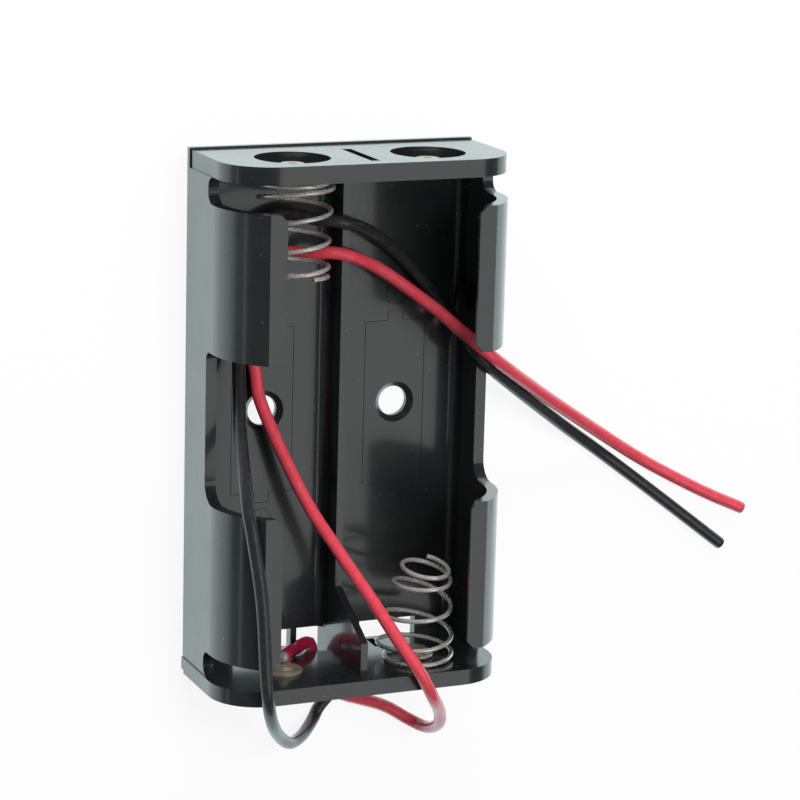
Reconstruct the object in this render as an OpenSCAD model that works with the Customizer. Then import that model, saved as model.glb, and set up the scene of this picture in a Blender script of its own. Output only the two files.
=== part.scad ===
// Holder for two cylindrical cells side by side, with curved retaining arms and two wire leads.
// X runs across the cells, Y along them, away from the leads, and Z out of the open face.

/* [Cells] */
// Diameter of one cell
cell_d = 14.5; // [14:0.1:14.8]
// Length of one cell
cell_l = 50.5; // [49:0.5:52]
// Distance between the centre lines of the two cells
cell_pitch = 15.3; // [15.3:0.1:16.5]
// Gap between a cell and the side wall
cell_gap = 0.1; // [0.05:0.05:0.3]

/* [Housing walls] */
// Thickness of the side walls and of the arms
side_wall = 1.2; // [1:0.1:1.6]
// Thickness of the floor
floor_t = 1.2; // [1:0.1:1.6]
// Thickness of the end wall away from the leads
plain_wall = 1.9; // [1.7:0.1:2.4]
// Thickness of the end wall at the leads
lead_wall = 1.7; // [1.6:0.1:2.2]
// Height of the end walls
end_h = 14.2; // [13.4:0.1:15]
// Radius of the top corners of the end walls
end_r = 5.4; // [3:0.1:6]
// Height of the flat tops of the arms
top_h = 15.4; // [15.2:0.1:16]
// How far the arms reach round the cells, above the horizontal
arm_angle = 66; // [60:1:70]
// Size of the chamfer on the corners of each arm
lip_cut = 0.9; // [0.4:0.1:1.2]
// Fillet radius along the foot of the walls and of the ridge
foot_r = 1; // [0.5:0.1:1.4]

/* [Ridge and gusset] */
// Thickness of the ridge between the bays
ridge_w = 0.8; // [0.6:0.1:1]
// Height of the ridge
ridge_h = 4.8; // [4:0.1:6]
// Height of the gusset where it meets the end wall
gusset_h = 12.5; // [10:0.5:13]
// Length of the level top of the gusset
gusset_flat = 3.6; // [2:0.2:5]
// Length of the sloping top of the gusset
gusset_slope = 4.2; // [3:0.2:7]

/* [Wall cut-outs] */
// Height of the low wall between the two arms of one side
notch_z = 6.4; // [6:0.1:7]
// Distance from the middle of the bay to the end of the notch at the lead end
notch_lead = 7.8; // [7:0.1:9]
// Distance from the middle of the bay to the other end of the notch
notch_plain = 8.5; // [7:0.1:9]
// Corner radius of the notch at the lead end
notch_lead_r = 2.2; // [1:0.1:2.5]
// Corner radius of the notch at the other end
notch_plain_r = 1; // [0.5:0.1:2.5]
// Width of the slot between an arm and the end wall
relief_w = 2.8; // [2.4:0.1:3.4]
// Height of the low wall under that slot
relief_z = 6.5; // [6:0.1:7]
// Corner radius of that slot
relief_r = 1.2; // [0.6:0.1:1.2]

/* [Base] */
// Thickness of the base lip round the foot of the end walls
base_t = 0.7; // [0.5:0.1:0.9]
// How far the base lip stands out beyond the plain end wall
base_lip = 0.2; // [0.1:0.05:0.4]
// How far the base stops short of the face of the lead end wall
base_inset = 0.4; // [0.2:0.1:0.6]
// Sideways step between the end walls and the side walls
end_step = 0.15; // [0.05:0.05:0.3]
// Diameter of the mounting holes
hole_d = 3.3; // [3:0.1:3.6]
// Diameter of the countersink at the floor
sink_d = 4.5; // [4:0.1:5.5]

/* [Openings at the lead end] */
// Length of the floor windows along the cells
window_l = 2.3; // [2:0.1:3]
// Distance from the middle to the outer edge of each floor window
window_x = 10.8; // [9:0.1:12]
// Distance from the middle to the bar across each floor window
bar_x = 3.4; // [3:0.1:4.2]
// Width of that bar
bar_w = 0.7; // [0.5:0.1:1]
// Width of the wire passage through the end wall
passage_w = 2.5; // [2.2:0.1:3]
// Height of the wire passage
passage_h = 3; // [2.4:0.1:3.4]
// Distance from the middle to the slit in the end wall
slit_x = 5.1; // [4.6:0.1:5.6]
// Width of that slit
slit_w = 0.9; // [0.6:0.1:1.2]
// Height of that slit
slit_h = 3.6; // [2:0.1:3.6]
// Depth of that slit
slit_d = 0.8; // [0.4:0.1:1]

/* [Contact seats] */
// How far the contacts sit below the centre line of the cells
contact_drop = 0.15; // [0:0.05:0.6]
// Diameter of the round recesses in the outer faces of the end walls
recess_d = 8; // [6:0.1:8.4]
// Depth of those recesses
recess_depth = 1.1; // [0.9:0.1:1.2]
// Width of the slot between the recesses of the plain end wall
slot_w = 1; // [0.9:0.1:1.4]
// Length of that slot
slot_l = 8.2; // [7:0.1:9]

/* [Springs] */
// Diameter of the spring wire
spring_wire = 0.5; // [0.4:0.05:0.6]
// Length left in the bay for a squeezed spring
spring_room = 2.65; // [2:0.05:4]
// Length of a free spring
spring_free = 11; // [10.5:0.1:12]
// Radius of the widest turn, to the middle of the wire
spring_r = 3.9; // [3.6:0.05:4]
// Radius of the first turn, round the rivet
spring_start_r = 1.3; // [1.25:0.05:1.5]
// Radius of the left spring at its tip
left_tip_r = 3.1; // [2.4:0.05:3.3]
// Radius of the right spring at its tip
right_tip_r = 2.3; // [2.1:0.05:2.8]
// How far the left spring sits off its rivet, towards the middle of the holder
left_shift = 0.4; // [0:0.05:0.6]
// How far the left spring bends over along its length, in degrees
left_bend = 8.5; // [0:0.5:12]
// Direction of that bend, from across the holder towards its open face
left_bend_to = 77; // [0:1:90]
// How far the right spring bends over along its length, in degrees
right_bend = 16; // [0:0.5:18]
// Direction of that bend, from across the holder towards its open face
right_bend_to = 59; // [0:1:90]

/* [Rivets and buttons] */
// Diameter of the shanks
shank_d = 1.8; // [1.6:0.1:1.9]
// Diameter of the rivet heads
rivet_d = 3.4; // [3.2:0.1:3.8]
// Thickness of the rivet heads
rivet_t = 0.45; // [0.3:0.05:0.6]
// Diameter of the clinched tails
tail_d = 3; // [2.6:0.1:3.4]
// Thickness of the clinched tails
tail_t = 0.5; // [0.3:0.05:0.6]
// Height of the button face above the end wall
button_h = 0.75; // [0.7:0.05:1.4]
// Diameter of the button face
button_d = 2.4; // [2.2:0.1:3]
// Diameter of the button flange
flange_d = 4.2; // [3.8:0.1:5]
// Thickness of the button flange
flange_t = 0.35; // [0.25:0.05:0.4]
// Thickness of the strip that joins the contacts of the plain end
strip_t = 0.3; // [0.2:0.05:0.4]
// Width of the round ends of that strip
strip_d = 7.8; // [6.8:0.1:8]
// Gap round a piece that fits in or over another
fit_gap = 0.05; // [0.03:0.01:0.08]

/* [Leads] */
// Diameter of the insulated leads
lead_d = 1.4; // [1.2:0.1:1.6]
// Diameter of the bare conductor
core_d = 0.7; // [0.5:0.1:0.9]
// Length of bare conductor between insulation and solder
core_l = 0.9; // [0.7:0.1:1.2]
// Radius of the blob of solder
solder_r = 0.65; // [0.5:0.05:0.8]

/* [Hidden] */
$fn = 64;
over = 1;
far = 40;
coil_sides = 6;
coil_steps = 18;
lead_sides = 8;

half_pitch = cell_pitch / 2;
bay_r = cell_d / 2 + cell_gap;
axis_z = floor_t + cell_d / 2;
contact_z = axis_z - contact_drop;
inner_x = half_pitch + bay_r;
half_w = inner_x + side_wall;
arm_r = bay_r + side_wall;
lip_x = half_pitch + bay_r * cos(arm_angle);

bay_l = cell_l + spring_room + button_h;
body_l = lead_wall + bay_l + plain_wall + base_lip;
lead_out = -body_l / 2;
lead_in = lead_out + lead_wall;
plain_in = lead_in + bay_l;
plain_out = plain_in + plain_wall;
bay_mid = (lead_in + plain_in) / 2;
notch_y0 = bay_mid - notch_lead;
notch_y1 = bay_mid + notch_plain;

// Height of the wire centre of a spring that lies against its seat
spring_seat = spring_wire / 2 + fit_gap;
spring_top = spring_free - spring_wire / 2;
rivet_z = 2 * spring_seat;

// Each row of a spring: turns from the seat, radius, height and shift across the holder
left_rows = [
    [0, spring_start_r, spring_seat, 0],
    [1, spring_r, spring_seat, left_shift],
    [2, spring_r + 0.05, spring_seat + 0.7, left_shift],
    [3, spring_r - 0.25, spring_seat + 3.7, left_shift],
    [4, left_tip_r + 0.3, spring_seat + 6.9, left_shift],
    [5, left_tip_r + 0.1, spring_top - 0.8, left_shift],
    [5.97, left_tip_r, spring_top - 0.2, left_shift],
];
right_rows = [
    [0, spring_start_r, spring_seat, 0],
    [1, spring_r + 0.2, spring_seat, 0],
    [2, spring_r + 0.15, spring_seat + 1.9, 0],
    [3, spring_r - 0.25, spring_seat + 5.5, 0],
    [4, right_tip_r + 0.65, spring_seat + 9.1, 0],
    [5, right_tip_r + 0.25, spring_top - 0.1, 0],
    [5.44, right_tip_r, spring_top + 0.1, 0],
];

// Routes of the free leads, from the contact to the cut end
red_route = [
    [-6.9, -25.9, 6.9], [-5.8, -26, 5.3], [-4.4, -26.3, 3.8], [-3.3, -26.2, 2.8], [-2.2, -26.4, 2.1],
    [-1.6, -28, 1.5], [-1.1, -30.3, 1.5], [0.1, -31.7, 2.3], [2, -32.8, 2.3], [7.2, -35, 1.1],
    [10.4, -37, 1.1], [11.6, -37.5, 2.6], [11.7, -36.7, 5.2], [11, -34.9, 8.4], [9.4, -32.3, 11.6],
    [7.3, -29.8, 14.7], [5.9, -27.6, 15.7], [4.6, -25.5, 15.7], [3.2, -23.1, 14.4], [1.2, -19.1, 11.4],
    [-1.6, -14.2, 8.5], [-4.6, -8.6, 5.6], [-8.4, 0.8, 2.8], [-9.2, 5.3, 2.2], [-10.9, 13.6, 2],
    [-8.9, 16.6, 2.1], [-5.6, 17.6, 2.7], [-3.9, 17.5, 4.2], [-2.4, 17.9, 5.6], [0.2, 17.4, 5.8],
    [4.4, 15.4, 4.4], [9.2, 11.8, 6.6], [11.2, 9.9, 8.6], [13.4, 7.9, 9.6], [16.8, 5.3, 9],
    [23.4, 0.8, 5.8], [32.4, -5, 2.2], [39.4, -9.4, 0.8], [46.8, -13.4, 0.7], [52.4, -16, 0.7],
];
black_route = [
    [6.9, -29.3, 7.4], [6.3, -30.5, 6.6], [5.3, -31.1, 5.2], [4.2, -31.3, 3.5], [3.1, -31.6, 2],
    [2, -32.2, 0.8], [-0.2, -34.3, 0.7], [-1.1, -35.5, 1.1], [-2.5, -36.2, 2.6], [-4.2, -36.4, 4.6],
    [-6.3, -35.9, 7], [-8.7, -33.8, 10], [-11, -30.7, 13.8], [-12.3, -27.5, 16], [-12.7, -24.2, 16.2],
    [-13.2, -16.7, 16.1], [-14.1, -9.6, 15.4], [-14.4, -7.2, 14.9], [-14.2, -4.8, 13.4], [-13.1, 0.1, 8.6],
    [-12.1, 4.1, 5.4], [-11.9, 6.8, 4.4], [-12.7, 12, 3.4], [-12.2, 17, 2.6], [-10, 20.3, 2.6],
    [-6.5, 21.8, 3.1], [-3.4, 21.4, 5.1], [-1.1, 21.2, 6.2], [2.5, 19.9, 4.9], [6.8, 17, 2.7],
    [10.1, 13.7, 2.5], [12.3, 10.9, 3.2], [13.4, 8.9, 4.9], [13.8, 7.5, 7.1], [15.4, 5.3, 7.6],
    [20.2, 1.6, 5.8], [27.6, -3.7, 2.6], [33.3, -7.7, 1.1], [39.8, -12.5, 0.7], [49.8, -20.1, 0.7],
];

function unit(v) = v / norm(v);
function heading(path, i) = unit(path[min(i + 1, len(path) - 1)] - path[max(i - 1, 0)]);
function square_to(v, t) = unit(v - (v * t) * t);
function across(path, i, last) =
    i == 0 ? square_to([1, 0.3, 0.2], heading(path, 0)) : square_to(last, heading(path, i));
function frames(path, i, made) =
    i == len(path) ? made : frames(path, i + 1, concat(made, [across(path, i, made[i - 1])]));

// A round tube of the given radius along a list of points
module tube(path, r, sides) {
    side = frames(path, 0, []);
    last = len(path) - 1;
    points = [
        for (i = [0:last], k = [0:sides - 1])
            path[i] + r * (cos(360 * k / sides) * side[i]
                + sin(360 * k / sides) * cross(heading(path, i), side[i]))
    ];
    skin = [
        for (i = [0:last - 1], k = [0:sides - 1])
            let (a = i * sides + k, b = i * sides + (k + 1) % sides)
                [a, a + sides, b + sides, b]
    ];
    start = [for (k = [0:sides - 1]) k];
    end = [for (k = [sides - 1:-1:0]) last * sides + k];
    polyhedron(points, concat(skin, [start], [end]), convexity = 10);
}

// A straight round rod between two points
module rod(from, to, d) {
    way = to - from;
    translate(from)
        rotate([0, acos(way[2] / norm(way)), atan2(way[1], way[0])])
            cylinder(h = norm(way), d = d);
}

// Extrudes a section drawn in X and Z from y0 to y1
module along_y(y0, y1) {
    translate([0, y1, 0]) rotate([90, 0, 0]) linear_extrude(y1 - y0) children();
}

// Extrudes a section drawn in Y and Z from x0 to x1
module along_x(x0, x1) {
    translate([x0, 0, 0]) rotate([90, 0, 90]) linear_extrude(x1 - x0) children();
}

module both_sides() {
    children();
    mirror([1, 0, 0]) children();
}

// Frames that stand on the inner face of an end wall, with +Z pointing into the bay
module at_lead_end(side) {
    translate([side * half_pitch, lead_in, contact_z]) rotate([-90, 0, 0]) children();
}

module at_plain_end(side) {
    translate([side * half_pitch, plain_in, contact_z]) rotate([90, 0, 0]) children();
}

// The concave fillet between the floor and an upright at x, on the side that faces towards dir
module foot_fillet(x, dir) {
    translate([x, floor_t]) mirror([dir < 0 ? 1 : 0, 0])
        difference() {
            square(foot_r);
            translate([foot_r, foot_r]) circle(foot_r);
        }
}

// The arm of the right-hand side, concentric with its cell
module arm_section() {
    intersection() {
        translate([half_pitch, axis_z])
            difference() {
                circle(arm_r);
                circle(bay_r);
                mirror([0, 1]) translate([-far, 0]) square(2 * far);
                rotate(arm_angle) square(far);
                rotate(arm_angle + 60) square(far);
            }
        square([half_w + over, top_h]);
    }
}

// Section of the right half, from the middle of the ridge to the outer wall
module half_section() {
    square([half_w, floor_t]);
    square([ridge_w / 2, ridge_h]);
    translate([inner_x, 0]) square([side_wall, axis_z]);
    arm_section();
    foot_fillet(ridge_w / 2, 1);
    foot_fillet(inner_x, -1);
}

module end_section(half) {
    translate([-half, 0]) square([2 * half, end_h - end_r]);
    translate([end_r - half, 0]) square([2 * (half - end_r), end_h]);
    both_sides() translate([half - end_r, end_h - end_r]) circle(end_r);
}

module gusset_section() {
    polygon([
        [lead_in, 0], [lead_in, gusset_h],
        [lead_in + gusset_flat, gusset_h],
        [lead_in + gusset_flat + gusset_slope, ridge_h],
        [lead_in + gusset_flat + gusset_slope, 0],
    ]);
}

// A slot from the top of the wall down to z0, with its own corner radius at each end
module slot_section(y0, y1, z0, r0, r1) {
    translate([y0 + r0, z0]) square([y1 - y0 - r0 - r1, top_h]);
    translate([y0, z0 + r0]) square([r0, top_h]);
    translate([y1 - r1, z0 + r1]) square([r1, top_h]);
    translate([y0 + r0, z0 + r0]) circle(r0);
    translate([y1 - r1, z0 + r1]) circle(r1);
}

// Chamfers the lip corner of the arm that lies from y towards dir
module lip_corner(y, dir) {
    reach = lip_cut + over;
    translate([lip_x, y, axis_z])
        linear_extrude(top_h) polygon([[-over, dir * reach], [reach, -dir * over], [-over, -dir * over]]);
}

module side_cuts() {
    both_sides() {
        along_x(half_pitch, half_w + over) {
            slot_section(lead_in, lead_in + relief_w, relief_z, relief_r, relief_r);
            slot_section(notch_y0, notch_y1, notch_z, notch_lead_r, notch_plain_r);
            slot_section(plain_in - relief_w, plain_in, relief_z, relief_r, relief_r);
        }
        for (y = [lead_in + relief_w, notch_y1]) lip_corner(y, 1);
        for (y = [notch_y0, plain_in - relief_w]) lip_corner(y, -1);
    }
}

module mounting_hole() {
    sink_h = (sink_d - hole_d) / 2;
    translate([half_pitch, 0, -over]) cylinder(h = floor_t + 2 * over, d = hole_d);
    translate([half_pitch, 0, floor_t - sink_h])
        cylinder(h = sink_h + over, d1 = hole_d, d2 = sink_d + 2 * over);
}

module floor_window() {
    depth = floor_t + foot_r + over;
    translate([ridge_w / 2, lead_in, -over]) cube([bar_x - ridge_w / 2, window_l, depth + over]);
    translate([bar_x + bar_w, lead_in, -over])
        cube([window_x - bar_x - bar_w, window_l, depth + over]);
}

module wire_passage() {
    translate([-ridge_w / 2 - passage_w, lead_out - over, -over])
        cube([passage_w, lead_wall + over, passage_h + over]);
}

module end_slit() {
    translate([slit_x, lead_in - slit_d, base_t]) cube([slit_w, slit_d + over, slit_h - base_t]);
}

module contact_seat(wall) {
    translate([0, 0, -wall - over]) cylinder(h = recess_depth + over, d = recess_d);
    translate([0, 0, -wall]) cylinder(h = wall + over / 2, d = shank_d + 2 * fit_gap);
}

module housing() {
    color([0.13, 0.14, 0.14])
        difference() {
            union() {
                along_y(lead_in, plain_in) both_sides() half_section();
                along_y(lead_out, lead_in) end_section(half_w + end_step);
                along_y(plain_in, plain_out) end_section(half_w - end_step);
                translate([-half_w, plain_in, 0]) cube([2 * half_w, plain_wall + base_lip, base_t]);
                along_x(-ridge_w / 2, ridge_w / 2) gusset_section();
            }
            side_cuts();
            both_sides() {
                mounting_hole();
                floor_window();
                end_slit();
            }
            wire_passage();
            translate([-far, lead_out - over, -over]) cube([2 * far, over + base_inset, over + base_t]);
            for (side = [-1, 1]) {
                at_lead_end(side) contact_seat(lead_wall);
                at_plain_end(side) contact_seat(plain_wall);
            }
            translate([-slot_w / 2, plain_in - over, contact_z - slot_l / 2])
                cube([slot_w, plain_wall + 2 * over, slot_l]);
        }
}

// The strip in the plain end: two round pads, a bar over the ridge and a fin in the slot
module bridge_strip() {
    bar_z = ridge_h + fit_gap;
    top_z = contact_z + strip_d / 2;
    fin_top = min(top_z, contact_z + slot_l / 2 - fit_gap);
    color([0.78, 0.78, 0.75]) {
        difference() {
            along_y(plain_in - strip_t, plain_in) {
                both_sides() translate([half_pitch, contact_z]) circle(d = strip_d);
                translate([-half_pitch, bar_z]) square([cell_pitch, top_z - bar_z]);
            }
            for (side = [-1, 1])
                at_plain_end(side)
                    translate([0, 0, -over]) cylinder(h = 3 * over, d = shank_d + 2 * fit_gap);
        }
        translate([fit_gap - slot_w / 2, plain_in - strip_t, bar_z])
            cube([slot_w - 2 * fit_gap, strip_t + plain_wall / 2, fin_top - bar_z]);
    }
}

// Shank and clinched tail that pass through an end wall, up to height z above its inner face
module shank(wall, z) {
    web = wall - recess_depth;
    difference() {
        union() {
            translate([0, 0, -web - tail_t]) cylinder(h = web + tail_t + z, d = shank_d);
            translate([0, 0, -web - tail_t]) cylinder(h = tail_t / 2, d1 = tail_d - tail_t, d2 = tail_d);
            translate([0, 0, -web - tail_t / 2]) cylinder(h = tail_t / 2, d = tail_d);
        }
        translate([0, 0, -web - tail_t - over]) cylinder(h = tail_t / 2 + over, d = shank_d / 2);
    }
}

// A rivet whose head holds down the first turn of a spring
module rivet(wall, seat) {
    under = seat + rivet_z;
    shank(wall, under + rivet_t);
    translate([0, 0, under]) cylinder(h = rivet_t / 2, d = rivet_d);
    translate([0, 0, under + rivet_t / 2]) cylinder(h = rivet_t / 2, d1 = rivet_d, d2 = rivet_d - rivet_t);
}

// A flanged button that meets the positive end of a cell
module button(wall, seat) {
    step = flange_t / 2;
    shank(wall, button_h);
    translate([0, 0, seat]) cylinder(h = flange_t, d = flange_d - step);
    translate([0, 0, seat + step / 2]) cylinder(h = step, d = flange_d);
    translate([0, 0, button_h - 2 * step]) cylinder(h = step, d = button_d);
    translate([0, 0, button_h - step]) cylinder(h = step, d1 = button_d, d2 = button_d - step);
}

module left_rivet() {
    color([0.8, 0.78, 0.72]) at_plain_end(-1) rivet(plain_wall, strip_t);
}

module right_rivet() {
    color([0.8, 0.78, 0.72]) at_lead_end(1) rivet(lead_wall, 0);
}

module left_button() {
    color([0.82, 0.81, 0.78]) at_lead_end(-1) button(lead_wall, 0);
}

module right_button() {
    color([0.82, 0.81, 0.78]) at_plain_end(1) button(plain_wall, strip_t);
}

// Radius, height and shift of a spring after a number of turns
function turn_at(rows, t) =
    [for (k = [1:3]) lookup(t, [for (row = rows) [row[0], row[k]]])];

// A point on a spring whose centre line bends evenly towards the angle bend_to
function coil_point(row, angle, bend, bend_to) =
    let (
        up = row[1] - spring_seat,
        turned = bend * up / (spring_free - spring_seat),
        u = row[0] * cos(angle - bend_to),
        w = row[0] * sin(angle - bend_to),
        d = up * sin(turned / 2) + u * cos(turned)
    )
    [
        row[2] + d * cos(bend_to) - w * sin(bend_to),
        d * sin(bend_to) + w * cos(bend_to),
        spring_seat + up * cos(turned / 2) - u * sin(turned),
    ];

// A wire spring that starts at the given angle round its seat
module spring(rows, start, bend, bend_to) {
    turns = rows[len(rows) - 1][0];
    steps = round(turns * coil_steps);
    tube([
        for (i = [0:steps])
            let (t = turns * i / steps)
                coil_point(turn_at(rows, t), start + 360 * t, bend, bend_to)
    ], spring_wire / 2, coil_sides);
}

module left_spring() {
    color([0.75, 0.73, 0.66])
        at_plain_end(-1) translate([0, 0, strip_t]) spring(left_rows, 90, left_bend, left_bend_to);
}

module right_spring() {
    color([0.75, 0.73, 0.66])
        at_lead_end(1) spring(right_rows, -90, right_bend, -right_bend_to);
}

// Where the bare conductor of a lead ends
function core_end(route) = route[0] - core_l * unit(route[1] - route[0]);

module core(route) {
    color([0.78, 0.62, 0.42]) rod(core_end(route), route[0], core_d);
}

module red_core() core(red_route);

module black_core() core(black_route);

// A round drop of solder on the end of a conductor, turned to point along it
module drop(route) {
    way = route[1] - route[0];
    translate(core_end(route))
        rotate([0, acos(way[2] / norm(way)), atan2(way[1], way[0])]) sphere(solder_r);
}

// The drops are cut back to the pieces that they join
module red_solder() {
    color([0.7, 0.71, 0.72])
        difference() {
            drop(red_route);
            left_button();
            red_core();
        }
}

module black_solder() {
    color([0.7, 0.71, 0.72])
        difference() {
            drop(black_route);
            right_rivet();
            black_core();
        }
}

module red_lead() {
    color([0.8, 0.16, 0.24]) tube(red_route, lead_d / 2, lead_sides);
}

module black_lead() {
    color([0.1, 0.1, 0.11]) tube(black_route, lead_d / 2, lead_sides);
}

housing();
bridge_strip();
left_rivet();
right_rivet();
left_button();
right_button();
left_spring();
right_spring();
red_core();
black_core();
red_solder();
black_solder();
red_lead();
black_lead();
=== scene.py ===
"""The looks of the cylindrical cell holder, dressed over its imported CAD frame."""

import math

import bpy
import numpy as np
from mathutils import Matrix, Vector


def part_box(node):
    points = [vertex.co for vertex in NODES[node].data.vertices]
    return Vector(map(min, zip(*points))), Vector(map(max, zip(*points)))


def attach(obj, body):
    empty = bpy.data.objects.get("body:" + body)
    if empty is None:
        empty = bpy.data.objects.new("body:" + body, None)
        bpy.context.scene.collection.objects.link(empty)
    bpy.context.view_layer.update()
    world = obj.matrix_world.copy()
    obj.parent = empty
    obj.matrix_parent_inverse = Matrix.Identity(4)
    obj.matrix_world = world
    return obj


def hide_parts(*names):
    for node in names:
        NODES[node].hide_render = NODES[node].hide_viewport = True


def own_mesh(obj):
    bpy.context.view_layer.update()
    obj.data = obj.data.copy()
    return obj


MM = 0.001

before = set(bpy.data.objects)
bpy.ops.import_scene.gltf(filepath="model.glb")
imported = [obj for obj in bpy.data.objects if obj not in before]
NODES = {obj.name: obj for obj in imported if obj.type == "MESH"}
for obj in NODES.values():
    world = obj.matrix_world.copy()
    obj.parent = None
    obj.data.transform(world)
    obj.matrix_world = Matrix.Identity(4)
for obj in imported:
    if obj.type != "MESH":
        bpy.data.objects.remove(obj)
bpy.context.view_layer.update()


# ---------------------------------------------------------------- routes of the leads

# Points in mm from the soldered joint to the cut end, the same as in the solid model.
RED_ROUTE = [
    (-6.9, -25.9, 6.9), (-5.8, -26, 5.3), (-4.4, -26.3, 3.8), (-3.3, -26.2, 2.8), (-2.2, -26.4, 2.1),
    (-1.6, -28, 1.5), (-1.1, -30.3, 1.5), (0.1, -31.7, 2.3), (2, -32.8, 2.3), (7.2, -35, 1.1),
    (10.4, -37, 1.1), (11.6, -37.5, 2.6), (11.7, -36.7, 5.2), (11, -34.9, 8.4), (9.4, -32.3, 11.6),
    (7.3, -29.8, 14.7), (5.9, -27.6, 15.7), (4.6, -25.5, 15.7), (3.2, -23.1, 14.4), (1.2, -19.1, 11.4),
    (-1.6, -14.2, 8.5), (-4.6, -8.6, 5.6), (-8.4, 0.8, 2.8), (-9.2, 5.3, 2.2), (-10.9, 13.6, 2),
    (-8.9, 16.6, 2.1), (-5.6, 17.6, 2.7), (-3.9, 17.5, 4.2), (-2.4, 17.9, 5.6), (0.2, 17.4, 5.8),
    (4.4, 15.4, 4.4), (9.2, 11.8, 6.6), (11.2, 9.9, 8.6), (13.4, 7.9, 9.6), (16.8, 5.3, 9),
    (23.4, 0.8, 5.8), (32.4, -5, 2.2), (39.4, -9.4, 0.8), (46.8, -13.4, 0.7), (52.4, -16, 0.7),
]
BLACK_ROUTE = [
    (6.9, -29.3, 7.4), (6.3, -30.5, 6.6), (5.3, -31.1, 5.2), (4.2, -31.3, 3.5), (3.1, -31.6, 2),
    (2, -32.2, 0.8), (-0.2, -34.3, 0.7), (-1.1, -35.5, 1.1), (-2.5, -36.2, 2.6), (-4.2, -36.4, 4.6),
    (-6.3, -35.9, 7), (-8.7, -33.8, 10), (-11, -30.7, 13.8), (-12.3, -27.5, 16), (-12.7, -24.2, 16.2),
    (-13.2, -16.7, 16.1), (-14.1, -9.6, 15.4), (-14.4, -7.2, 14.9), (-14.2, -4.8, 13.4), (-13.1, 0.1, 8.6),
    (-12.1, 4.1, 5.4), (-11.9, 6.8, 4.4), (-12.7, 12, 3.4), (-12.2, 17, 2.6), (-10, 20.3, 2.6),
    (-6.5, 21.8, 3.1), (-3.4, 21.4, 5.1), (-1.1, 21.2, 6.2), (2.5, 19.9, 4.9), (6.8, 17, 2.7),
    (10.1, 13.7, 2.5), (12.3, 10.9, 3.2), (13.4, 8.9, 4.9), (13.8, 7.5, 7.1), (15.4, 5.3, 7.6),
    (20.2, 1.6, 5.8), (27.6, -3.7, 2.6), (33.3, -7.7, 1.1), (39.8, -12.5, 0.7), (49.8, -20.1, 0.7),
]


# ---------------------------------------------------------------- camera

# The camera looks down on the open face, a little from the left and from beyond the plain end. Both
# the left wall and the plain end show, and the plain end is at the top of the picture.
CAMERA_TURN = math.radians(23.64)
CAMERA_TILT = math.radians(13.34)
CAMERA_ROLL = math.radians(-1.53)
CAMERA_DISTANCE = 322.5 * MM
CAMERA_SHIFT = Vector((5.15, 2.19, 0)) * MM
CAMERA_AIM = Vector((0, -0.1, 7.5)) * MM
CAMERA_LENS = 135.9
SENSOR_WIDTH = 36
CLIP_START = 10 * MM


def make_camera():
    """Places the camera from its turn, tilt and roll about the point that it aims at."""
    data = bpy.data.cameras.new("camera")
    data.lens = CAMERA_LENS
    data.sensor_width = SENSOR_WIDTH
    data.clip_start = CLIP_START
    camera = bpy.data.objects.new("camera", data)
    bpy.context.collection.objects.link(camera)
    turn = (
        Matrix.Rotation(CAMERA_ROLL, 3, "Z")
        @ Matrix.Rotation(CAMERA_TILT, 3, "X")
        @ Matrix.Rotation(CAMERA_TURN, 3, "Y")
    ).transposed()
    place = turn @ (CAMERA_SHIFT + Vector((0, 0, CAMERA_DISTANCE))) + CAMERA_AIM
    camera.matrix_world = Matrix.Translation(place) @ turn.to_4x4()
    bpy.context.scene.camera = camera


# ---------------------------------------------------------------- materials

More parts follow.
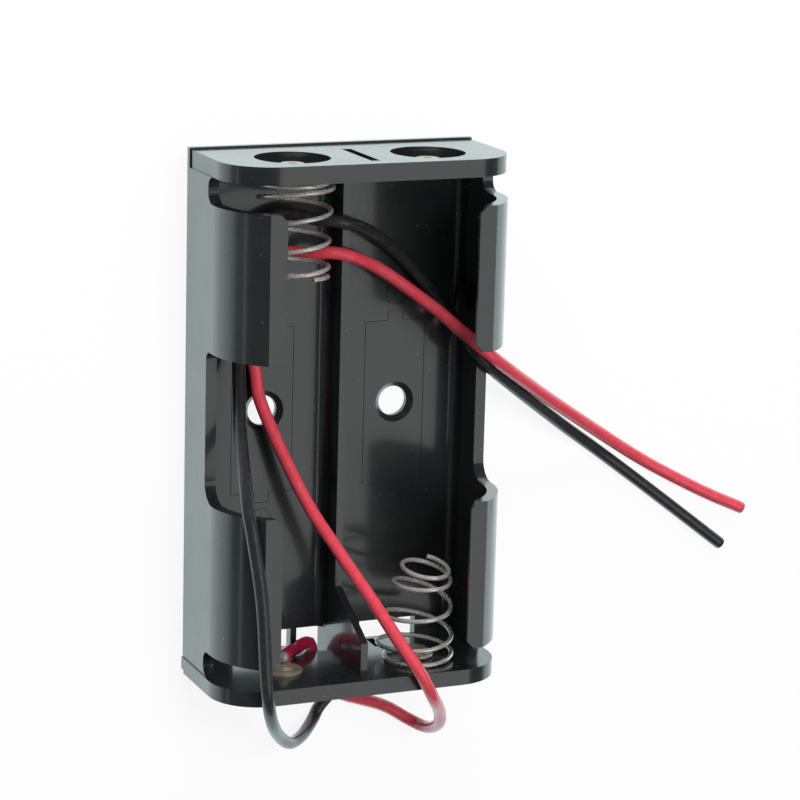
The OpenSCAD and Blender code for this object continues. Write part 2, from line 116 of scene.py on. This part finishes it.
class Shader:
    """A small helper that adds and links the nodes of one material."""

    def __init__(self, name):
        self.material = bpy.data.materials.new(name)
        self.material.use_nodes = True
        self.tree = self.material.node_tree
        self.surface = self.tree.nodes["Principled BSDF"]
        self.place = self.add("ShaderNodeTexCoord").outputs["Object"]

    def add(self, kind, **settings):
        node = self.tree.nodes.new(kind)
        for name, value in settings.items():
            setattr(node, name, value)
        return node

    def link(self, source, target):
        self.tree.links.new(source, target)

    def set(self, **values):
        for name, value in values.items():
            self.surface.inputs[name.replace("_", " ")].default_value = value

    def noise(self, scale, detail=3, roughness=0.5, stretch=None):
        """A noise field between 0 and 1, with scale in cells per metre."""
        node = self.add("ShaderNodeTexNoise")
        node.inputs["Scale"].default_value = scale
        node.inputs["Detail"].default_value = detail
        node.inputs["Roughness"].default_value = roughness
        source = self.place
        if stretch:
            mapping = self.add("ShaderNodeMapping")
            mapping.inputs["Scale"].default_value = stretch
            self.link(source, mapping.inputs["Vector"])
            source = mapping.outputs["Vector"]
        self.link(source, node.inputs["Vector"])
        return node.outputs["Fac"]

    def ramp(self, factor, stops):
        """Maps a factor through (position, grey or colour) stops."""
        node = self.add("ShaderNodeValToRGB")
        elements = node.color_ramp.elements
        while len(elements) < len(stops):
            elements.new(0.5)
        for element, (position, value) in zip(elements, stops):
            element.position = position
            colour = value if isinstance(value, tuple) else (value, value, value)
            element.color = (*colour, 1)
        self.link(factor, node.inputs["Fac"])
        return node.outputs["Color"]

    def math(self, operation, a, b):
        """Joins two values, each a socket or a number."""
        node = self.add("ShaderNodeMath", operation=operation)
        for socket, value in zip(node.inputs, (a, b)):
            if isinstance(value, (int, float)):
                socket.default_value = value
            else:
                self.link(value, socket)
        return node.outputs["Value"]

    def mix(self, factor, a, b):
        """Mixes two colours, each a socket or a tuple."""
        node = self.add("ShaderNodeMix", data_type="RGBA")
        self.link(factor, node.inputs["Factor"])
        for name, value in (("A", a), ("B", b)):
            socket = [s for s in node.inputs if s.name == name and s.type == "RGBA"][0]
            if isinstance(value, tuple):
                socket.default_value = (*value, 1)
            else:
                self.link(value, socket)
        return [s for s in node.outputs if s.type == "RGBA"][0]

    def fade(self, value, start, end, low, high):
        """Goes smoothly from low, where the value is start, to high, where it is end."""
        node = self.add("ShaderNodeMapRange", interpolation_type="SMOOTHSTEP")
        for socket, number in zip(node.inputs[1:5], (start, end, low, high)):
            socket.default_value = number
        self.link(value, node.inputs["Value"])
        return node.outputs["Result"]

    def bump(self, height, distance, strength, previous=None):
        """A surface normal from a height field, on top of a previous one."""
        node = self.add("ShaderNodeBump")
        node.inputs["Strength"].default_value = strength
        node.inputs["Distance"].default_value = distance
        self.link(height, node.inputs["Height"])
        if previous:
            self.link(previous, node.inputs["Normal"])
        return node.outputs["Normal"]

    def finish(self, colour, roughness, normal):
        """Links the three channels that vary over the surface, and gives the material."""
        self.link(colour, self.surface.inputs["Base Color"])
        self.link(roughness, self.surface.inputs["Roughness"])
        self.link(normal, self.surface.inputs["Normal"])
        return self.material


PLASTIC_DARK = (0.0095, 0.0115, 0.012)
PLASTIC_LIGHT = (0.015, 0.017, 0.0175)
PLASTIC_RUBBED = (0.04, 0.043, 0.044)
DUST = (0.28, 0.28, 0.27)


def black_plastic():
    """Semi-gloss moulded plastic with a faint orange peel, rubbed patches and specks of dust."""
    shader = Shader("black_plastic")
    shader.set(IOR=1.55, Coat_Weight=1.0, Coat_IOR=1.55, Coat_Roughness=0.12)
    cloud = shader.noise(scale=180, detail=4)
    grit = shader.noise(scale=2600, detail=2)
    wear = shader.noise(scale=900, detail=5, roughness=0.7, stretch=(1, 0.18, 1))

    speck = shader.ramp(grit, [(0.0, 0.0), (0.735, 0.0), (0.76, 1.0)])
    rub = shader.ramp(wear, [(0.0, 0.0), (0.6, 0.0), (0.85, 1.0)])
    tone = shader.ramp(cloud, [(0.3, PLASTIC_DARK), (0.7, PLASTIC_LIGHT)])
    rubbed = shader.mix(shader.math("MULTIPLY", rub, 0.35), tone, PLASTIC_RUBBED)
    colour = shader.mix(shader.math("MULTIPLY", speck, 0.5), rubbed, DUST)

    dullness = shader.math("ADD", shader.math("MULTIPLY", rub, 0.25), cloud)
    roughness = shader.ramp(dullness, [(0.3, 0.24), (1.0, 0.42)])

    peel = shader.bump(shader.noise(scale=2200), distance=0.03 * MM, strength=0.35)
    normal = shader.bump(cloud, distance=0.2 * MM, strength=0.25, previous=peel)
    return shader.finish(colour, roughness, normal)


def metal(name, colour, stained, roughness, grain, metallic=0.8):
    """Plated metal with a fine grain, a thin dull film and slightly warm stains."""
    shader = Shader(name)
    shader.set(Metallic=metallic)
    stain = shader.ramp(shader.noise(scale=700, detail=4), [(0.35, 0.0), (0.75, 1.0)])
    return shader.finish(
        shader.mix(stain, colour, stained),
        shader.ramp(shader.noise(scale=1500), [(0.2, roughness), (0.8, roughness * 1.7)]),
        shader.bump(shader.noise(scale=grain, detail=2), distance=0.02 * MM, strength=0.3),
    )


# Painted shade near the soldered joint is full up to the first distance from the joint, and gone at the
# second.
PAINTED_SHADE_REACH = (5 * MM, 10 * MM)


def insulation(name, colour, scuffed, painted_shade, joint, roughness):
    """Wire insulation with a smooth skin, faint scuffs, and painted shade darkening its end at the
    soldered joint.
    """
    shader = Shader(name)
    shader.set(IOR=1.5, Coat_Weight=1.0, Coat_IOR=1.5, Coat_Roughness=0.07, Specular_IOR_Level=0.2)
    scuff = shader.ramp(shader.noise(scale=1300, detail=4, roughness=0.65), [(0.45, 0.0), (0.8, 1.0)])
    reach = shader.add("ShaderNodeVectorMath", operation="DISTANCE")
    reach.inputs[1].default_value = Vector(joint) * MM
    shader.link(shader.place, reach.inputs[0])
    # Painted shade: the colour darkens towards the soldered joint, where the lead lies in shade.
    near = shader.fade(reach.outputs["Value"], *PAINTED_SHADE_REACH, 1.0, 0.0)
    return shader.finish(
        shader.mix(near, shader.mix(scuff, colour, scuffed), painted_shade),
        shader.ramp(shader.noise(scale=900), [(0.2, roughness), (0.8, roughness + 0.12)]),
        shader.bump(shader.noise(scale=1600), distance=0.05 * MM, strength=0.35),
    )


FLOOR_WHITE = (0.86, 0.86, 0.86, 1)
FLOOR_GLOW = 0.88
# The floor's reflection fades to FAR_GLOW between these two places along X.
TABLE_EDGE = (-75 * MM, -22 * MM)
FAR_GLOW = 0.1
WORLD_SIDES = 0.9
WORLD_TOP = 0.1
HORIZON = 0.1
# The slightly cool tint of the room, as surfaces mirror it.
ROOM_TINT = (0.86, 1.0, 1.02)


def white_surface(name):
    """Pale matt surface that the camera sees as plain white, and that keeps shadows.

    Glossy rays see it in the tint of the room, and darker on the left, past the edge of the table.
    """
    shader = Shader(name)
    shader.set(Base_Color=FLOOR_WHITE, Roughness=0.9, Specular_IOR_Level=0.0)
    paths = shader.add("ShaderNodeLightPath").outputs
    glossy = paths["Is Glossy Ray"]

    split = shader.add("ShaderNodeSeparateXYZ")
    shader.link(shader.place, split.inputs["Vector"])
    across = shader.fade(split.outputs["X"], *TABLE_EDGE, FAR_GLOW, 1.0)
    darker = shader.math("MULTIPLY", glossy, shader.math("SUBTRACT", 1.0, across))
    glow = shader.add("ShaderNodeEmission")
    shader.link(shader.math("SUBTRACT", 1.0, darker), glow.inputs["Strength"])
    shader.link(shader.mix(glossy, (1.0, 1.0, 1.0), ROOM_TINT), glow.inputs["Color"])

    seen = shader.math("MAXIMUM", paths["Is Camera Ray"], glossy)
    seen = shader.math("MAXIMUM", seen, paths["Is Transmission Ray"])
    both = shader.add("ShaderNodeMixShader")
    shader.link(shader.math("MULTIPLY", seen, FLOOR_GLOW), both.inputs["Fac"])
    shader.link(shader.surface.outputs["BSDF"], both.inputs[1])
    shader.link(glow.outputs["Emission"], both.inputs[2])
    output = [n for n in shader.tree.nodes if n.type == "OUTPUT_MATERIAL"][0]
    shader.link(both.outputs["Shader"], output.inputs["Surface"])
    return shader.material


PLASTIC = black_plastic()
NICKEL = metal(
    "nickel_plate", colour=(0.85, 0.78, 0.6), stained=(0.7, 0.61, 0.42),
    roughness=0.24, grain=3000, metallic=0.86,
)
SPRING_STEEL = metal(
    "spring_wire", colour=(0.97, 0.95, 0.91), stained=(0.86, 0.81, 0.72),
    roughness=0.2, grain=4000, metallic=0.78,
)
SOLDER = metal(
    "solder", colour=(0.66, 0.67, 0.68), stained=(0.5, 0.5, 0.5), roughness=0.3, grain=2500,
)
COPPER = metal(
    "copper_strand", colour=(0.8, 0.66, 0.5), stained=(0.7, 0.5, 0.34), roughness=0.22, grain=4000,
)
# The last colour of each lead is painted shade, towards its soldered joint.
RED = insulation(
    "red_insulation", colour=(0.62, 0.05, 0.075), scuffed=(0.68, 0.09, 0.12),
    painted_shade=(0.24, 0.006, 0.03), joint=RED_ROUTE[0], roughness=0.36,
)
BLACK = insulation(
    "black_insulation", colour=(0.018, 0.018, 0.019), scuffed=(0.035, 0.035, 0.036),
    painted_shade=(0.012, 0.012, 0.013), joint=BLACK_ROUTE[0], roughness=0.34,
)


# ---------------------------------------------------------------- mesh helpers

def add_piece(name, points, faces, material, smooth=True):
    """A new mesh that rides on the holder, with its material."""
    mesh = bpy.data.meshes.new(name)
    mesh.from_pydata([tuple(p) for p in points], [], faces)
    mesh.update()
    if smooth:
        mesh.shade_smooth()
    mesh.materials.append(material)
    piece = bpy.data.objects.new(name, mesh)
    bpy.context.collection.objects.link(piece)
    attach(piece, "holder")
    return piece


def soften(piece, name, width, segments, degrees):
    """Rounds the edges that are sharper than the given angle."""
    bevel = piece.modifiers.new(name, "BEVEL")
    bevel.width = width
    bevel.segments = segments
    bevel.limit_method = "ANGLE"
    bevel.angle_limit = math.radians(degrees)


def curve_point(a, b, c, d, t):
    """The point at t between b and c, on the Catmull-Rom curve through a, b, c and d."""
    square = 2 * a - 5 * b + 4 * c - d
    cube = 3 * b - a - 3 * c + d
    return 0.5 * (2 * b + (c - a) * t + square * t * t + cube * t ** 3)


def smooth_path(points, step):
    """Catmull-Rom curve through the points, resampled about every step."""
    points = [Vector(p) for p in points]
    ends = [2 * points[0] - points[1], *points, 2 * points[-1] - points[-2]]
    path = []
    for a, b, c, d in zip(ends, ends[1:], ends[2:], ends[3:]):
        parts = max(2, round((c - b).length / step))
        path += [curve_point(a, b, c, d, i / parts) for i in range(parts)]
    path.append(points[-1])
    return path


def ring_faces(rings, sides):
    """The faces between closed rings of points, each with the same number of sides."""
    return [
        (
            i * sides + k,
            i * sides + (k + 1) % sides,
            (i + 1) * sides + (k + 1) % sides,
            (i + 1) * sides + k,
        )
        for i in range(rings - 1)
        for k in range(sides)
    ]


def join(parts):
    """The vertices and faces of several meshes as one."""
    points, faces = [], []
    for more, skin in parts:
        faces += [tuple(len(points) + i for i in face) for face in skin]
        points += more
    return points, faces


def tube_mesh(path, radius, sides):
    """Vertices and faces of a round tube with closed ends, free of twist."""
    count = len(path)
    side = None
    points = []
    for i, centre in enumerate(path):
        heading = (path[min(i + 1, count - 1)] - path[max(i - 1, 0)]).normalized()
        start = side or heading.orthogonal()
        side = (start - start.dot(heading) * heading).normalized()
        up = heading.cross(side)
        for k in range(sides):
            angle = 2 * math.pi * k / sides
            points.append(centre + radius * (math.cos(angle) * side + math.sin(angle) * up))
    faces = ring_faces(count, sides)
    faces.append(tuple(range(sides - 1, -1, -1)))
    faces.append(tuple((count - 1) * sides + k for k in range(sides)))
    return points, faces


# ---------------------------------------------------------------- leads

LEAD_DIAMETER = 1.4 * MM
LEAD_STEP = 0.6 * MM
LEAD_SIDES = 20
CUT_EDGE = 0.08 * MM


def make_lead(name, route, material, node):
    """A limp insulated lead along its route, a tube with closed ends and softened end edges."""
    path = smooth_path([Vector(p) * MM for p in route], LEAD_STEP)
    points, faces = tube_mesh(path, LEAD_DIAMETER / 2, LEAD_SIDES)
    lead = add_piece(name, points, faces, material)
    soften(lead, "cut_edge", CUT_EDGE, segments=2, degrees=60)
    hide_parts(node)


# ---------------------------------------------------------------- springs

SPRING_WIRE = 0.5 * MM
SPRING_GAP = 0.05 * MM
SPRING_FREE = 11 * MM
SPRING_STEPS = 64
SPRING_SIDES = 14

# Each row: turns from the seat, radius, height along the spring and shift across the holder, in mm.
LEFT_ROWS = [
    (0, 1.3, 0.3, 0), (1, 3.9, 0.3, 0.4), (2, 3.95, 1, 0.4), (3, 3.65, 4, 0.4),
    (4, 3.4, 7.2, 0.4), (5, 3.2, 9.95, 0.4), (5.97, 3.1, 10.55, 0.4),
]
RIGHT_ROWS = [
    (0, 1.3, 0.3, 0), (1, 4.1, 0.3, 0), (2, 4.05, 2.2, 0), (3, 3.65, 5.8, 0),
    (4, 2.95, 9.4, 0), (5, 2.55, 10.65, 0), (5.44, 2.3, 10.85, 0),
]
# How far each spring bends over along its length, and which way, from across the holder to upwards.
LEFT_BEND = (math.radians(8.5), math.radians(77))
RIGHT_BEND = (math.radians(16), math.radians(59))


def coil_path(rows, bend, seat, way):
    """Centre line of a bent spring that stands on the seat point.

    It grows along +Y where way is 1, and along -Y where it is -1.
    """
    turns, radii, heights, shifts = np.array(rows).T
    first = rows[0][2] * MM
    amount, towards = bend
    steps = round(rows[-1][0] * SPRING_STEPS)
    path = []
    for i in range(steps + 1):
        turn = rows[-1][0] * i / steps
        radius, height, shift = (np.interp(turn, turns, row) * MM for row in (radii, heights, shifts))
        up = height - first
        turned = amount * up / (SPRING_FREE - first)
        angle = math.pi / 2 - way * 2 * math.pi * turn - towards
        along, sideways = radius * math.cos(angle), radius * math.sin(angle)
        out = up * math.sin(turned / 2) + along * math.cos(turned)
        path.append(seat + Vector((
            shift + out * math.cos(towards) - sideways * math.sin(towards),
            way * (first + up * math.cos(turned / 2) - along * math.sin(turned)),
            out * math.sin(towards) + sideways * math.cos(towards),
        )))
    return path


def make_spring(name, rows, bend, way, node, rivet):
    """A coil spring on its rivet, in place of the CAD spring."""
    low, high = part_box(node)
    rivet_low, rivet_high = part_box(rivet)
    centre = (rivet_low + rivet_high) / 2
    seat = Vector((centre.x, low.y - SPRING_GAP if way > 0 else high.y + SPRING_GAP, centre.z))
    points, faces = tube_mesh(coil_path(rows, bend, seat, way), SPRING_WIRE / 2, SPRING_SIDES)
    spring = add_piece(name, points, faces, SPRING_STEEL)
    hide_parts(node)
    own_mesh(spring)


# ---------------------------------------------------------------- conductors and solder

STRAND_COUNT = 6
STRAND_DIAMETER = 0.2 * MM
STRAND_TWIST = math.radians(150) / MM
STRAND_STEPS = 10
STRAND_SIDES = 8


def twisted_strands(start, heading, length, spread=0.0):
    """A twisted bundle: one straight strand and a ring of them, which may spread at its start."""
    side = heading.orthogonal().normalized()
    up = heading.cross(side)
    paths = [[start + heading * length * i / STRAND_STEPS for i in range(STRAND_STEPS + 1)]]
    for k in range(STRAND_COUNT):
        path = []
        for i in range(STRAND_STEPS + 1):
            along = length * i / STRAND_STEPS
            angle = 2 * math.pi * k / STRAND_COUNT + STRAND_TWIST * along
            out = STRAND_DIAMETER * (1 + spread * (1 - i / STRAND_STEPS))
            across = math.cos(angle) * side + math.sin(angle) * up
            path.append(start + heading * along + out * across)
        paths.append(path)
    return join(tube_mesh(path, STRAND_DIAMETER / 2, STRAND_SIDES) for path in paths)


def make_core(name, route, node):
    """Twisted strands from inside the solder, where they splay a little, into the insulation."""
    bare, length, spread = 0.9 * MM, 1.3 * MM, 0.25
    start, after = (Vector(p) * MM for p in route[:2])
    heading = (after - start).normalized()
    points, faces = twisted_strands(start - heading * bare, heading, length, spread)
    core = add_piece(name, points, faces, COPPER)
    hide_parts(node)


def make_cut_end(name, route):
    """The strands that show in the cut end of a lead."""
    inside, length = 0.3 * MM, 0.36 * MM
    before, end = (Vector(p) * MM for p in route[-2:])
    heading = (end - before).normalized()
    points, faces = twisted_strands(end - heading * inside, heading, length)
    add_piece(name, points, faces, COPPER)


def make_solder(name, node, flat):
    """A lumpy drop of solder that spreads towards the face it sits on, along Y."""
    low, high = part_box(node)
    centre = (low + high) / 2
    size = (high - low) / 2
    bands, sides = 14, 24
    points = []
    for i in range(bands + 1):
        tilt = math.pi * i / bands
        spread = 1 + 0.22 * max(0.0, math.cos(math.pi - tilt)) ** 2
        for k in range(sides):
            turn = 2 * math.pi * k / sides
            lump = 1 + 0.05 * math.sin(3 * turn + 2 * tilt) + 0.04 * math.sin(5 * tilt + turn)
            points.append(centre + Vector((
                math.sin(tilt) * math.cos(turn) * size.x * lump * spread,
                -flat * math.cos(tilt) * size.y,
                math.sin(tilt) * math.sin(turn) * size.z * lump * spread,
            )))
    faces = ring_faces(bands + 1, sides)
    drop = add_piece(name, points, faces, SOLDER)
    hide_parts(node)


# ---------------------------------------------------------------- moulded marks

# In mm, as the marks are drawn. Each pair below is a share of half the width, and a height.
MARK_WIDTH = 0.16
MARK_HEIGHT = 0.08
MARK_SECTION = [(-1, -0.02), (-0.55, MARK_HEIGHT), (0.55, MARK_HEIGHT), (1, -0.02)]
FLOOR_TOP = 1.2
RIGHT_MARKS_X = 7.55
LEFT_MARKS_X = -7.8


def raised_line(points, closed):
    """Vertices and faces of a low rib along points in X and Y, in mm, with sloping flanks."""
    count, sides = len(points), len(MARK_SECTION)
    line = [Vector((x, y, 0)) for x, y in points]
    verts = []
    for i, point in enumerate(line):
        near = [line[i - 1], point, line[(i + 1) % count]] if closed else line[max(0, i - 1):i + 2]
        ways = [(b - a).normalized() for a, b in zip(near, near[1:])]
        way = sum(ways, Vector()).normalized()
        left = Vector((-way.y, way.x, 0))
        mitre = 1 / max(0.5, left.dot(Vector((-ways[0].y, ways[0].x, 0))))
        for out, z in MARK_SECTION:
            edge = left * (out * mitre * MARK_WIDTH / 2)
            verts.append((point + edge + Vector((0, 0, FLOOR_TOP + z))) * MM)
    faces = [
        (
            i * sides + k,
            (i + 1) % count * sides + k,
            (i + 1) % count * sides + k + 1,
            i * sides + k + 1,
        )
        for i in range(count if closed else count - 1)
        for k in range(sides - 1)
    ]
    if not closed:
        faces += [(0, 1, 2, 3), tuple(sides * (count - 1) + k for k in (3, 2, 1, 0))]
    return verts, faces


def circle(x, y, radius, steps=40):
    """Points round a circle, in mm."""
    angles = [2 * math.pi * i / steps for i in range(steps)]
    return [(x + radius * math.cos(angle), y + radius * math.sin(angle)) for angle in angles]


def make_marks(name, x, way):
    """The outline of a cell on the floor of a bay, with its nub and its plain polarity marks.

    The nub points along +Y where way is 1, and along -Y where it is -1.
    """
    half, low, high, nub, tip = 3.5, -9.1, 9.1, 0.85, 10.2
    outline = [
        (x - half, low), (x + half, low), (x + half, high), (x + nub, high),
        (x + nub, tip), (x - nub, tip), (x - nub, high), (x - half, high),
    ]
    plus, minus, radius, arm = 12.1, -11.2, 1.2, 0.6
    lines = [
        (outline, True),
        (circle(x, plus, radius), True),
        (circle(x, minus, radius), True),
        ([(x - arm, plus), (x + arm, plus)], False),
        ([(x, plus - arm), (x, plus + arm)], False),
        ([(x - arm, minus), (x + arm, minus)], False),
    ]
    points, faces = join(
        raised_line([(px, way * py) for px, py in line], closed) for line, closed in lines
    )
    add_piece(name, points, faces, PLASTIC, smooth=False)


# ---------------------------------------------------------------- CAD pieces

HOUSING_EDGE = 0.2 * MM
METAL_EDGE = 0.05 * MM


def dress(node, material, edge, segments=2):
    """Gives a CAD node its material, and shows its edges softened."""
    piece = NODES[node]
    piece.data.materials.clear()
    piece.data.materials.append(material)
    soften(piece, "soft_edges", edge, segments, degrees=35)


# ---------------------------------------------------------------- studio

LAMP_AIM = Vector((0, 0, 8)) * MM
FLOOR_HALF = 1.6

# Name, place, size and power of each lamp, and whether glossy surfaces mirror it. In metres and watts.
LAMPS = [
    ("key", (0.05, 0.15, 0.6), (0.3, 0.3), 3.0, False),
    ("far_end", (-0.05, 0.45, 0.15), (0.5, 0.2), 2.0, False),
    ("soft_box", (0.25, -0.12, 0.53), (0.4, 0.4), 0.38, True),
]


def area_light(name, place, size, power, mirrored):
    """A rectangular lamp that points at the holder."""
    data = bpy.data.lights.new(name, "AREA")
    data.shape = "RECTANGLE"
    data.size, data.size_y = size
    data.energy = power
    light = bpy.data.objects.new(name, data)
    bpy.context.collection.objects.link(light)
    light.visible_glossy = mirrored
    light.location = place
    light.rotation_euler = (LAMP_AIM - Vector(place)).to_track_quat("-Z", "Y").to_euler()


def make_world():
    """A plain room, pale below the horizon and dim above it."""
    world = bpy.data.worlds.new("world")
    bpy.context.scene.world = world
    world.use_nodes = True
    tree = world.node_tree
    place = tree.nodes.new("ShaderNodeTexCoord")
    split = tree.nodes.new("ShaderNodeSeparateXYZ")
    ramp = tree.nodes.new("ShaderNodeValToRGB")
    tree.links.new(place.outputs["Generated"], split.inputs["Vector"])
    tree.links.new(split.outputs["Z"], ramp.inputs["Fac"])
    stops = ((0.0, WORLD_SIDES), (HORIZON, WORLD_TOP))
    for element, (position, level) in zip(ramp.color_ramp.elements, stops):
        element.position = position
        element.color = (*(level * part for part in ROOM_TINT), 1)
    tree.links.new(ramp.outputs["Color"], tree.nodes["Background"].inputs["Color"])


def make_studio():
    """The white floor, the room and the lamps."""
    floor = bpy.data.meshes.new("floor")
    corners = [(-1, -1), (1, -1), (1, 1), (-1, 1)]
    floor.from_pydata([(x * FLOOR_HALF, y * FLOOR_HALF, 0) for x, y in corners], [], [(0, 1, 2, 3)])
    floor.materials.append(white_surface("floor"))
    stage = bpy.data.objects.new("floor", floor)
    bpy.context.collection.objects.link(stage)

    make_world()
    for lamp in LAMPS:
        area_light(*lamp)


# ---------------------------------------------------------------- build

make_camera()
make_lead("red_wire", RED_ROUTE, RED, "red_lead")
make_lead("black_wire", BLACK_ROUTE, BLACK, "black_lead")
make_spring(
    "left_coil_spring", LEFT_ROWS, LEFT_BEND, -1, "left_spring", "left_rivet",
)
make_spring(
    "right_coil_spring", RIGHT_ROWS, RIGHT_BEND, 1, "right_spring", "right_rivet",
)

dress("housing", PLASTIC, HOUSING_EDGE, segments=3)
for part in ("bridge_strip", "left_rivet", "right_rivet", "left_button", "right_button"):
    dress(part, NICKEL, METAL_EDGE)
make_core("red_strands", RED_ROUTE, "red_core")
make_core("black_strands", BLACK_ROUTE, "black_core")
make_cut_end("red_cut_end", RED_ROUTE)
make_cut_end("black_cut_end", BLACK_ROUTE)
make_solder("red_joint", "red_solder", 1)
make_solder("black_joint", "black_solder", -1)
make_marks("right_bay_marks", RIGHT_MARKS_X, 1)
make_marks("left_bay_marks", LEFT_MARKS_X, -1)

make_studio()
bpy.context.scene.view_settings.view_transform = "Standard"
